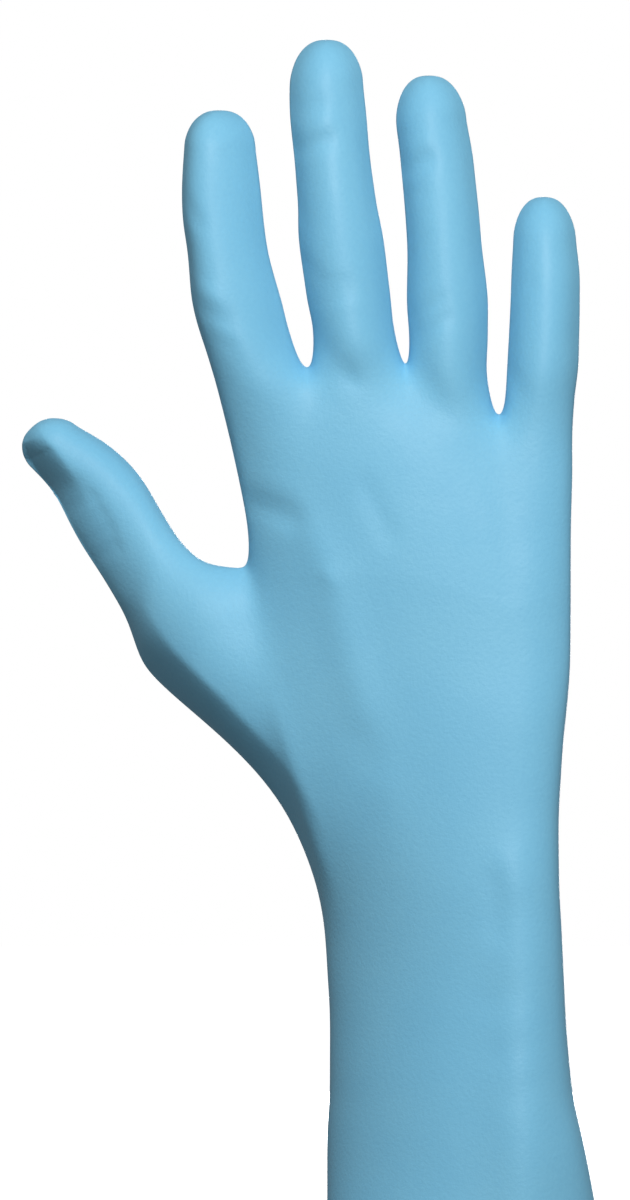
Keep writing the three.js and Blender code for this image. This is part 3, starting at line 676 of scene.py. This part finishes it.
def add_thumb():
    """The thumb stall on the hand's open left side: superellipses on a line of its own that turns with
    the thumb, and whose backs past the root rise to a ridge that leans to the crest. Its root ring runs
    from the web over the palm to the wrist and over the back up again."""
    low_ring = cuff_ids[-1]
    high_ring = knuckle_ids[0]
    between = root_ids[:, LEFT_START]
    root = np.concatenate([
        high_ring[:1],
        high_ring[LEFT_START + 1:][::-1],
        high_ring[LEFT_START:LEFT_START + 1],
        between[::-1],
        low_ring[LEFT_START:],
        low_ring[:1],
        root_ids[:, 0],
    ])
    web = place_of(high_ring[0])

    def place(s):
        """The middle of a section, or of the tip, from its shares."""
        return stacked(
            THUMB_WEB_ACROSS * PALM_BREADTH - s["out"] * THUMB["length"],
            s["sink"] * THUMB["reach"],
            web[2] + s["up"] * THUMB["length"],
        )

    middles = place({name: THUMB_SECTIONS[name] for name in ("out", "up", "sink")})
    at = np.concatenate([[0], np.cumsum(np.linalg.norm(np.diff(middles, axis=0), axis=1))])
    axes = [curve(at, middles[:, k]) for k in range(3)]
    turn = curve(at, np.radians(THUMB_SECTIONS["turn"]))
    wide = curve(at, THUMB_SECTIONS["breadth"] * THUMB["breadth"] / 2)
    deep = curve(at, THUMB_SECTIONS["depth"] * THUMB["depth"] / 2)
    end = at[-1]
    middle_at = lambda s: stacked(*[axis(s) for axis in axes])
    angle = lambda i: (2 * i - SIDE_COLUMNS) * math.pi / len(root)

    def tube(i, s):
        power = 2 / mix(ROOT_SQUARENESS, 2, ease(2 * s / end))
        beyond = ease(2 * s / end - THUMB_ROUND_FROM)
        ridge = np.where(np.sin(angle(i)) < 0, mix(1, BACK_RIDGE, beyond), 1)
        skew = THUMB["crest"] * beyond * np.maximum(0, -np.sin(angle(i))) ** 2
        out = wide(s) * (powered(np.cos(angle(i)), power) + skew)
        sunk = deep(s) * powered(np.sin(angle(i)), power * ridge)
        return middle_at(s) + stacked(out * np.cos(turn(s)), sunk, out * np.sin(turn(s)))

    def dome(i, lift):
        round_form = tube(i, np.full_like(lift, end)) - middle_at(end)
        line = mix(middle_at(end), place(THUMB_TIP), np.sin(lift)[..., None])
        return round_form * (np.cos(lift) ** BLUNTNESS)[..., None] + line

    grow_stall(
        root, SIDE_COLUMNS, THUMB_ROOT_ROWS,
        rows=round(end / STALL_ROW_PITCH),
        blend=THUMB_BLEND,
        tube=lambda i, share: tube(i, end * share),
        travelled=lambda i, share: end * share + 0 * i,
        dome=dome,
    )
    return root


thumb_root = add_thumb()
coarse = np.concatenate(blocks)
quads = np.concatenate([
    np.stack([p[:-1, :-1], p[:-1, 1:], p[1:, 1:], p[1:, :-1]], axis=-1).reshape(-1, 4)
    for p in patches
])


def summed(index, values, count):
    """The values added up by the number that each belongs to."""
    return np.stack([np.bincount(index, column, count) for column in values.T], axis=1)


def edges_of(quads, count):
    """Each edge once, as a pair of point numbers, and the edge that every side of every quad lies on."""
    ends = np.stack([quads, np.roll(quads, -1, axis=1)], axis=2)
    keys, side = np.unique(ends.min(axis=2) * count + ends.max(axis=2), return_inverse=True)
    return np.stack([keys // count, keys % count], axis=1), side.reshape(quads.shape)


def smooth_seams(points):
    """Draws the film smooth over the seams between the hand and its stalls: each point there moves towards
    the mean of its neighbours, less the further it is from the seam, and every second pass moves it back
    nearly as far, so that creases go and the form doesn't shrink. Then the depth alone, y, moves towards
    the neighbours' mean, weighted by their nearness, at the thumb's root and over the middle of the hand,
    so that the outline stays."""
    edges = edges_of(quads, len(points))[0]
    both = np.concatenate([edges, edges[:, ::-1]])
    neighbours = np.bincount(both[:, 0])[:, None]

    def nearness(seam, reach):
        away = np.linalg.norm(points[:, None] - points[seam][None], axis=2).min(axis=1)
        return ease(1 + SEAM_WIDTH - away / reach)

    web_seam = np.concatenate([top_ring, *web_lines.values()])
    weight = np.maximum(nearness(web_seam, WEB_REACH), nearness(thumb_root, THUMB_REACH))[:, None]
    for step in range(SMOOTH_PASSES):
        mean = summed(both[:, 0], points[both[:, 1]], len(points)) / neighbours
        points = mix(points, mean, weight * (-SMOOTH_BACK if step % 2 else SMOOTH_STEP))
    low, high = height_of(1 + LEVEL_BAND)
    z = points[:, 2]
    band = ease((z - low) / LEVEL_REACH) * ease((high - z) / LEVEL_REACH)
    level = np.maximum(band, nearness(thumb_root, LEVEL_REACH))
    pull = 1 / np.linalg.norm(points[both[:, 0]] - points[both[:, 1]], axis=1)
    pulls = np.bincount(both[:, 0], pull)
    for step in range(LEVEL_PASSES):
        mean = np.bincount(both[:, 0], pull * points[both[:, 1], 1]) / pulls
        points[:, 1] = mix(points[:, 1], mean, level * SMOOTH_STEP)
    return points


def settled(points, quads):
    """Where endless dividing would take each point: the mean of the point, its neighbours and the far
    corners of its quads, weighted by the square of its number of quads, by 4 and by 1. A point on the
    open edge takes two thirds of itself and a sixth of each neighbour on that edge."""
    edges, side = edges_of(quads, len(points))
    on_rim = np.bincount(side.ravel(), minlength=len(edges)) == 1
    n = np.bincount(quads.ravel())[:, None]
    beside = points[np.roll(quads, -1, axis=1)] + points[np.roll(quads, 1, axis=1)]
    across = points[np.roll(quads, 2, axis=1)]
    around = summed(quads.ravel(), (2 * beside + across).reshape(-1, 3), len(points))
    inside = (n * n * points + around) / (n * (n + 5))
    rim = edges[on_rim]
    pairs = np.concatenate([rim, rim[:, ::-1]])
    edge_sum = summed(pairs[:, 0], points[pairs[:, 1]], len(points))
    is_rim = np.isin(np.arange(len(points)), rim)[:, None]
    return np.where(is_rim, (4 * points + edge_sum) / 6, inside)


def divide(points, quads, rim):
    """Cuts every quad in four by Catmull and Clark's rule: a new point in the middle of each quad, one on
    each edge at the mean of its ends and its two quads' middles, and each old point drawn in between.
    On the open edge a new point is the edge's own middle. rim is the ring of points on that edge."""
    count = len(points)
    edges, side = edges_of(quads, count)
    centres = points[quads].mean(axis=1)
    middles = points[edges].mean(axis=1)
    flat = side.ravel()
    shared = np.bincount(flat, minlength=len(edges))
    around = summed(flat, np.repeat(centres, 4, axis=0), len(edges))
    edge_points = np.where(shared[:, None] == 2, middles / 2 + around / 4, middles)
    n = np.bincount(quads.ravel())[:, None]
    face_mean = summed(quads.ravel(), np.repeat(centres, 4, axis=0), count) / n
    ends = edges.ravel()
    edge_mean = summed(ends, np.repeat(middles, 2, axis=0), count) / np.bincount(ends)[:, None]
    old_points = (face_mean + 2 * edge_mean + (n - 3) * points) / n
    open_edges = shared == 1
    open_ends = edges[open_edges].ravel()
    open_sum = summed(open_ends, np.repeat(middles[open_edges], 2, axis=0), count)
    old_points[rim] = points[rim] / 2 + open_sum[rim] / 4
    beyond = np.roll(rim, -1)
    keys = edges[:, 0] * count + edges[:, 1]
    rim_keys = np.minimum(rim, beyond) * count + np.maximum(rim, beyond)
    between = count + np.searchsorted(keys, rim_keys)
    centre_ids = np.broadcast_to(count + len(edges) + np.arange(len(quads))[:, None], quads.shape)
    next_side = count + side
    last_side = count + np.roll(side, 1, axis=1)
    new_quads = np.stack([quads, next_side, centre_ids, last_side], axis=2).reshape(-1, 4)
    new_points = np.concatenate([old_points, edge_points, centres])
    return new_points, new_quads, np.stack([rim, between], axis=1).ravel()


# The coarse surface is moved until its finely divided form passes through the wanted points.
wanted = smooth_seams(coarse)
cage = wanted
for step in range(FIT_PASSES):
    cage = cage + wanted - settled(cage, quads)
film_points, film_quads, film_rim = cage, quads, mouth
for step in range(FINE_STEPS):
    film_points, film_quads, film_rim = divide(film_points, film_quads, film_rim)


def raise_forms(points):
    """Raises the broad forms: each is a bell-shaped swelling or hollow on the back or on the palm. It
    is full from a quarter of the palm's depth on its own side, and gone from as far on the other."""
    for side, across, up, wide, tall, lean, rise in np.stack(list(FORMS.values()), axis=1):
        dx = points[:, 0] - across * PALM_BREADTH
        dz = points[:, 2] - height_of(1 + up)
        turn = math.radians(lean)
        a = (dx * math.cos(turn) + dz * math.sin(turn)) / (wide * PALM_BREADTH)
        b = (dz * math.cos(turn) - dx * math.sin(turn)) / (tall * PALM_LENGTH)
        facing = ease(0.5 + 2 * side * points[:, 1] / PALM_DEPTH)
        points[:, 1] += side * rise * PALM_DEPTH * np.exp(-a * a - b * b) * facing
    return points


film_points = raise_forms(film_points)


def outward(points, quads):
    """The outward direction at every point: the mean of those of the quads that meet there."""
    a, b, c, d = (points[quads[:, k]] for k in range(4))
    normal = np.cross(c - a, d - b)
    total = summed(quads.ravel(), np.repeat(normal, 4, axis=0), len(points))
    return total / np.linalg.norm(total, axis=1, keepdims=True)


def relief_lines():
    """Every line of relief: its side, and its places, reaches and heights in millimetres, row by row."""
    lines = [
        (side, line["across"], line["up"], line["reach"], line["rise"]) for side, line in RELIEF.values()
    ]
    for across, up, to_across, to_up, reach, rise in np.stack(list(CREASES.values()), axis=1):
        ends = np.array([(across, up, reach, rise), (to_across, to_up, reach, rise)]).T
        lines.append((-1, *ends))
    return [
        (
            side,
            np.column_stack([across * PALM_BREADTH, height_of(1 + up)]),
            reach * PALM_DEPTH,
            rise * PALM_DEPTH,
        )
        for side, across, up, reach, rise in lines
    ]


def raise_relief(points, quads):
    """Raises or sinks the film along each line of relief. A line on the back or the palm has a
    bell-shaped profile of the distance from it as seen from the back, and fades out where the film turns
    to its outline. An edge bends the whole film by the power EDGE_POWER of how near a point is."""
    out = outward(points, quads)
    seen = points[:, [0, 2]]
    shift = np.zeros(len(points))
    for side, path, reaches, rises in relief_lines():
        start, along = path[:-1], np.diff(path, axis=0)
        to_point = seen[:, None] - start[None]
        share = np.clip((to_point * along).sum(axis=2) / (along ** 2).sum(axis=1), 0, 1)
        away = np.linalg.norm(to_point - share[..., None] * along, axis=2)
        nearest = away.argmin(axis=1)
        at = nearest + np.take_along_axis(share, nearest[:, None], axis=1)[:, 0]
        reach, rise = (np.interp(at, np.arange(len(path)), values) for values in (reaches, rises))
        near = away.min(axis=1) / reach
        if side:
            shift += side * rise * np.exp(-near ** 2) * ease(FACING_GROWTH * side * out[:, 1])
        else:
            shift += rise * np.clip(1 - near, 0, 1) ** EDGE_POWER
    return points + stacked(0, shift, 0)


film_points = raise_relief(film_points, film_quads)


def close_film(points, quads, rim):
    """The outer surface as a closed film: the same surface a wall further in and turned round, and
    between the two at the mouth the bead, whose profile is an arc from the outer wall to the inner."""
    out = outward(points, quads)
    out[rim, 2] = 0
    out[rim] /= np.linalg.norm(out[rim], axis=1, keepdims=True)
    inner = points - WALL * out
    radius = BEAD_DIAMETER / 2
    meet = math.asin(WALL / BEAD_DIAMETER)
    turn = math.pi / 2 - meet - 2 * (math.pi - meet) * np.arange(1, BEAD_STEPS) / BEAD_STEPS
    bead = points[rim][None] + out[rim][None] * (radius * np.cos(turn) - WALL / 2)[:, None, None]
    bead[..., 2] = (radius + radius * np.sin(turn))[:, None]
    count = len(points)
    bead_ids = 2 * count + np.arange(bead.shape[0] * len(rim)).reshape(bead.shape[:2])
    rings = closed(np.vstack([rim[None], bead_ids, rim[None] + count]))
    bead_quads = np.stack([rings[1:, :-1], rings[1:, 1:], rings[:-1, 1:], rings[:-1, :-1]], axis=-1)
    return (
        np.concatenate([points, inner, bead.reshape(-1, 3)]),
        np.concatenate([quads, quads[:, ::-1] + count, bead_quads.reshape(-1, 4)]),
    )


def mesh_object(name, points, quads):
    """A smooth-shaded mesh object of points in millimetres and quads, at the origin and unscaled."""
    mesh = bpy.data.meshes.new(name)
    mesh.vertices.add(len(points))
    mesh.vertices.foreach_set("co", (points * MM).astype(np.float32).ravel())
    mesh.loops.add(quads.size)
    mesh.loops.foreach_set("vertex_index", quads.astype(np.int32).ravel())
    mesh.polygons.add(len(quads))
    mesh.polygons.foreach_set("loop_start", np.arange(0, quads.size, 4, dtype=np.int32))
    mesh.polygons.foreach_set("use_smooth", np.ones(len(quads), bool))
    mesh.update(calc_edges=True)
    mesh.validate()
    made = bpy.data.objects.new(name, mesh)
    bpy.context.scene.collection.objects.link(made)
    return made


glove = mesh_object("glove", *close_film(film_points, film_quads, film_rim))


# The film's two blues, which broad clouds run between, the blue of its fine speckle and how much of that
# shows, how rough its gloss is from place to place, and the grain's strength and height in metres.
CLOUD_BLUES = ((0.215, 0.575, 0.815), (0.24, 0.61, 0.84))
SPECKLE_BLUE = (0.17, 0.5, 0.76)
SPECKLE_SHARE = 0.2
GLOSS_ROUGHNESS = (0.46, 0.58)
SPECULAR = 0.3
GRAIN_STRENGTH = 0.45
GRAIN_HEIGHT = 0.0002

# The noise of each of these patterns, and the span of it that counts from none to full.
CLOUD_NOISE = {"Scale": 22, "Detail": 3}
SPECKLE_NOISE = {"Scale": 900, "Detail": 2}
GLOSS_NOISE = {"Scale": 60, "Detail": 4}
GRAIN_NOISE = {"Scale": 1100, "Detail": 3, "Roughness": 0.6}
CLOUD_SPAN = (0.35, 0.65)
FINE_SPAN = (0.3, 0.7)


def nitrile():
    """Satin nitrile film: one blue, a little lighter and darker in broad soft clouds and in a fine speckle,
    with a fine pebbled grain and a slight change of gloss from place to place."""
    material = bpy.data.materials.new("nitrile")
    material.use_nodes = True
    nodes = material.node_tree.nodes
    links = material.node_tree.links
    shader = nodes["Principled BSDF"]
    place = nodes.new("ShaderNodeTexCoord").outputs["Object"]

    def noise(settings):
        """A noise over the object's own coordinates, whose sockets are set by their names."""
        made = nodes.new("ShaderNodeTexNoise")
        for key, number in settings.items():
            made.inputs[key].default_value = number
        links.new(place, made.inputs["Vector"])
        return made.outputs["Fac"]

    def ramp(value, span, low, high):
        """A straight rise from low to high while the value crosses the span."""
        made = nodes.new("ShaderNodeMapRange")
        links.new(value, made.inputs["Value"])
        for key, number in zip(("From Min", "From Max", "To Min", "To Max"), (*span, low, high)):
            made.inputs[key].default_value = number
        return made.outputs["Result"]

    def blend(amount, second):
        """A colour mix that shows its second colour by an amount, its first colour socket and its result."""
        made = nodes.new("ShaderNodeMix")
        made.data_type = "RGBA"
        links.new(amount, made.inputs[0])
        made.inputs[7].default_value = (*second, 1)
        return made.inputs[6], made.outputs[2]

    plain, clouds = blend(ramp(noise(CLOUD_NOISE), CLOUD_SPAN, 0, 1), CLOUD_BLUES[1])
    plain.default_value = (*CLOUD_BLUES[0], 1)
    under_speckle, speckled = blend(ramp(noise(SPECKLE_NOISE), FINE_SPAN, 0, SPECKLE_SHARE), SPECKLE_BLUE)
    links.new(clouds, under_speckle)
    links.new(speckled, shader.inputs["Base Color"])
    links.new(ramp(noise(GLOSS_NOISE), FINE_SPAN, *GLOSS_ROUGHNESS), shader.inputs["Roughness"])
    shader.inputs["Specular IOR Level"].default_value = SPECULAR

    grain = nodes.new("ShaderNodeBump")
    grain.inputs["Strength"].default_value = GRAIN_STRENGTH
    grain.inputs["Distance"].default_value = GRAIN_HEIGHT
    links.new(noise(GRAIN_NOISE), grain.inputs["Height"])
    links.new(grain.outputs["Normal"], shader.inputs["Normal"])
    return material


glove.data.materials.append(nitrile())
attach(glove, "root")
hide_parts("glove_film")


# The lights: their places and targets and the side of their square in metres, and their power in watts.
LIGHTS = {
    "front_light": {"place": (0.13, -1.36, 1.03), "target": (-0.03, 0, 0.2), "side": 0.5, "power": 20},
    "back_light": {"place": (0.1, 1.6, 0.3), "target": (-0.03, 0, 0.15), "side": 0.6, "power": 10},
}


def area_light(name, place, target, side, power):
    """A soft square light at a place, turned to a target."""
    data = bpy.data.lights.new(name, "AREA")
    data.shape = "SQUARE"
    data.size = side
    data.energy = power
    made = bpy.data.objects.new(name, data)
    made.location = place
    toward = np.array(target) - np.array(place)
    heading = math.atan2(-toward[0], toward[1])
    tilt = math.atan2(math.hypot(toward[0], toward[1]), -toward[2])
    made.rotation_euler = (tilt, 0, heading)
    bpy.context.scene.collection.objects.link(made)


for name, light in LIGHTS.items():
    area_light(name, **light)

# Where the middle of the view lies and how much of the object's height it takes in, in metres, and a long
# lens, so that the view is nearly without perspective.
VIEW_MIDDLE = (-0.03672, 0, 0.16536)
VIEW_HEIGHT = 0.288
VIEW_END = 50
LENS = 500
SENSOR = 36

camera_data = bpy.data.cameras.new("camera")
camera_data.lens = LENS
camera_data.sensor_width = SENSOR
camera_data.clip_end = VIEW_END
camera = bpy.data.objects.new("camera", camera_data)
camera.location = (VIEW_MIDDLE[0], -VIEW_HEIGHT * LENS / SENSOR, VIEW_MIDDLE[2])
camera.rotation_euler = (math.pi / 2, 0, 0)
bpy.context.scene.collection.objects.link(camera)
bpy.context.scene.camera = camera

# The room's light from below and from above, and the upward parts of a direction between which it changes.
ROOM_BELOW = 0.08
ROOM_ABOVE = 0.26
ROOM_FADE = (-1.0, 0.3)
WHITE = (1, 1, 1, 1)


def surround():
    """The room: white where the camera looks past the object, and otherwise a dim light that comes from
    above and fades out below."""
    world = bpy.data.worlds.new("room")
    world.use_nodes = True
    nodes = world.node_tree.nodes
    links = world.node_tree.links
    place = nodes.new("ShaderNodeTexCoord")
    split = nodes.new("ShaderNodeSeparateXYZ")
    links.new(place.outputs["Generated"], split.inputs[0])
    fade = nodes.new("ShaderNodeMapRange")
    fade.interpolation_type = "SMOOTHSTEP"
    links.new(split.outputs["Z"], fade.inputs["Value"])
    span = (*ROOM_FADE, ROOM_BELOW, ROOM_ABOVE)
    for key, number in zip(("From Min", "From Max", "To Min", "To Max"), span):
        fade.inputs[key].default_value = number
    dim = nodes["Background"]
    dim.inputs["Color"].default_value = WHITE
    links.new(fade.outputs["Result"], dim.inputs["Strength"])
    white = nodes.new("ShaderNodeBackground")
    white.inputs["Color"].default_value = WHITE
    white.inputs["Strength"].default_value = 1
    path = nodes.new("ShaderNodeLightPath")
    both = nodes.new("ShaderNodeMixShader")
    links.new(path.outputs["Is Camera Ray"], both.inputs[0])
    links.new(dim.outputs[0], both.inputs[1])
    links.new(white.outputs[0], both.inputs[2])
    links.new(both.outputs[0], nodes["World Output"].inputs["Surface"])
    bpy.context.scene.world = world


surround()


# The floor's reach and how far it lies below the rim, in metres, its number of corners, its pale grey, its
# roughness and how bright it is of itself.
FLOOR_RADIUS = 4
FLOOR_DROP = 0.001
FLOOR_CORNERS = 96
FLOOR_GREY = (0.93, 0.93, 0.93, 1)
FLOOR_ROUGHNESS = 0.9
FLOOR_GLOW = 0.8


def floor():
    """A plain pale disc just below the rim, which is bright of itself and throws no light on the film."""
    turn = np.linspace(0, 2 * np.pi, FLOOR_CORNERS, endpoint=False)
    edge = stacked(FLOOR_RADIUS * np.cos(turn), FLOOR_RADIUS * np.sin(turn), -FLOOR_DROP)
    mesh = bpy.data.meshes.new("floor")
    mesh.from_pydata(edge.tolist(), [], [list(range(FLOOR_CORNERS))])
    made = bpy.data.objects.new("floor", mesh)
    bpy.context.scene.collection.objects.link(made)
    material = bpy.data.materials.new("floor")
    material.use_nodes = True
    shader = material.node_tree.nodes["Principled BSDF"]
    shader.inputs["Base Color"].default_value = FLOOR_GREY
    shader.inputs["Roughness"].default_value = FLOOR_ROUGHNESS
    shader.inputs["Emission Color"].default_value = WHITE
    shader.inputs["Emission Strength"].default_value = FLOOR_GLOW
    mesh.materials.append(material)
    made.visible_diffuse = False
    made.visible_glossy = False


floor()

settings = bpy.context.scene.view_settings
settings.view_transform = "Standard"
settings.look = "None"
